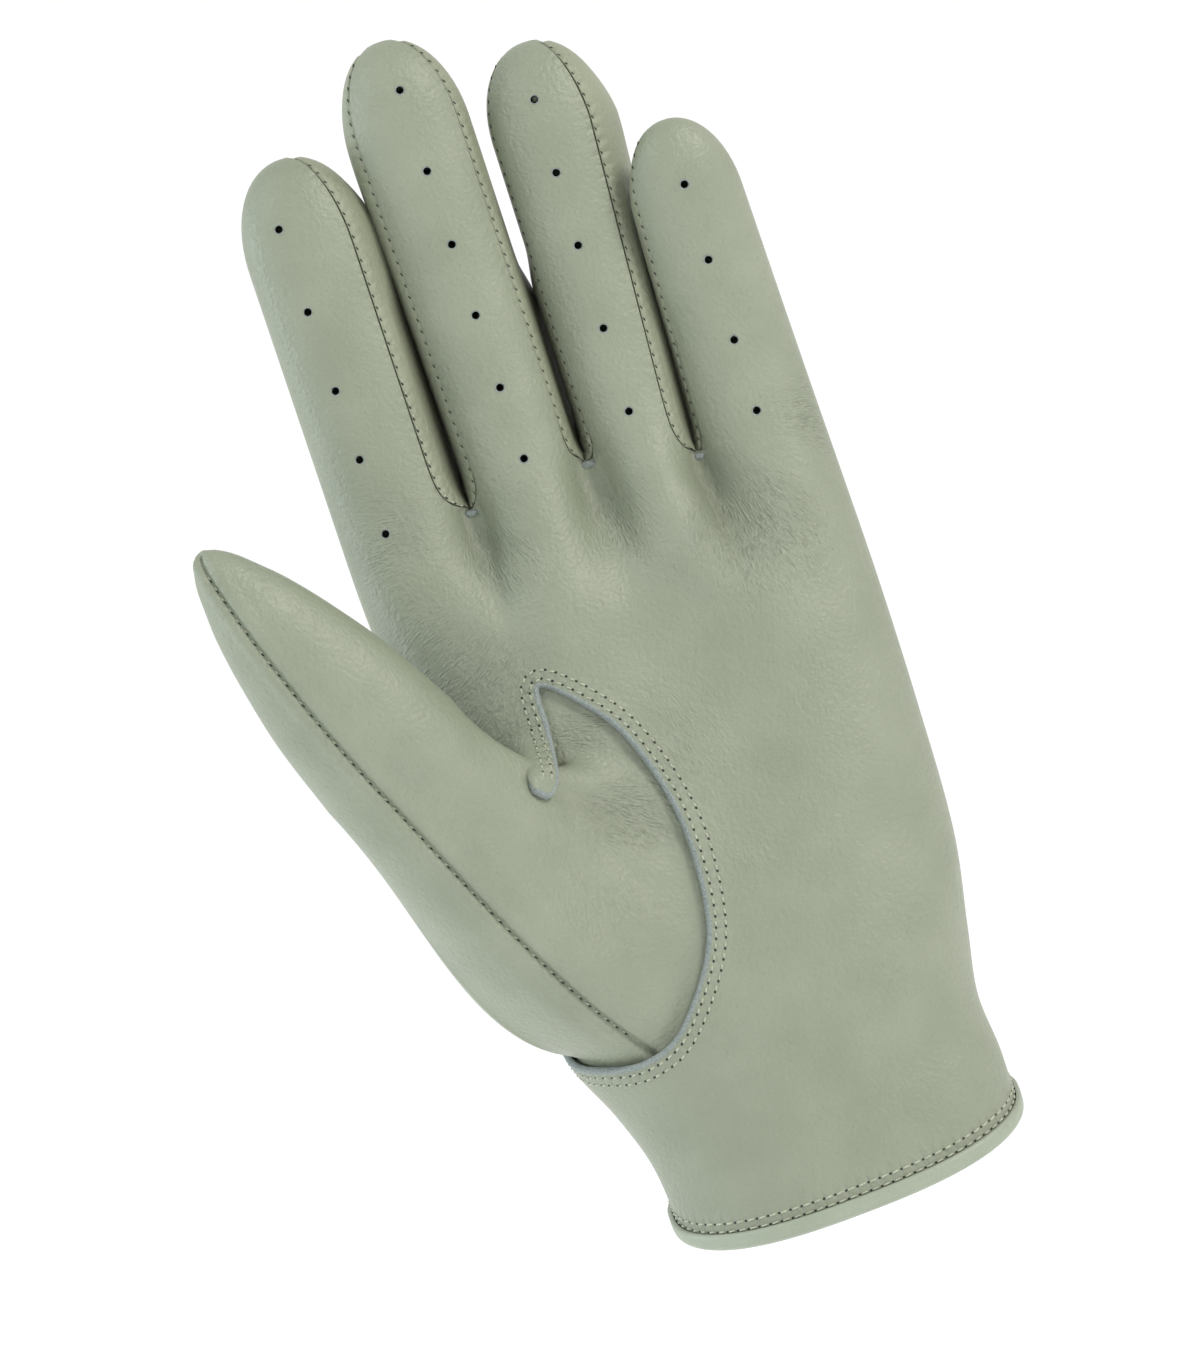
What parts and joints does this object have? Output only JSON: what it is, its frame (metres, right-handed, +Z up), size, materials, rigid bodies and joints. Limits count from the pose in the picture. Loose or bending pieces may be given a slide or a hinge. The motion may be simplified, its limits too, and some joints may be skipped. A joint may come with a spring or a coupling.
{
  "type": "driving glove",
  "caption": "Left-hand leather driving glove with perforated fingers, inset thumb and bound wrist, open inside from the wrist to the fingertips.",
  "frame": {"origin": "centre of the wrist opening", "axes": "+X towards the little finger, +Y towards the back of the hand, +Z up the hand towards the fingertips"},
  "size_m": [0.1222, 0.0635, 0.2397],
  "materials": {
    "leather": "smooth fine-grained leather",
    "side_leather": "smooth fine-grained leather",
    "binding_leather": "smooth rolled leather"
  },
  "bodies": {
    "root": {"palm": "leather", "back": "leather", "fourchette_index_middle": "side_leather", "fourchette_middle_ring": "side_leather", "fourchette_ring_little": "side_leather", "thumb": "leather", "cuff_binding": "binding_leather"}
  },
  "joints": []
}
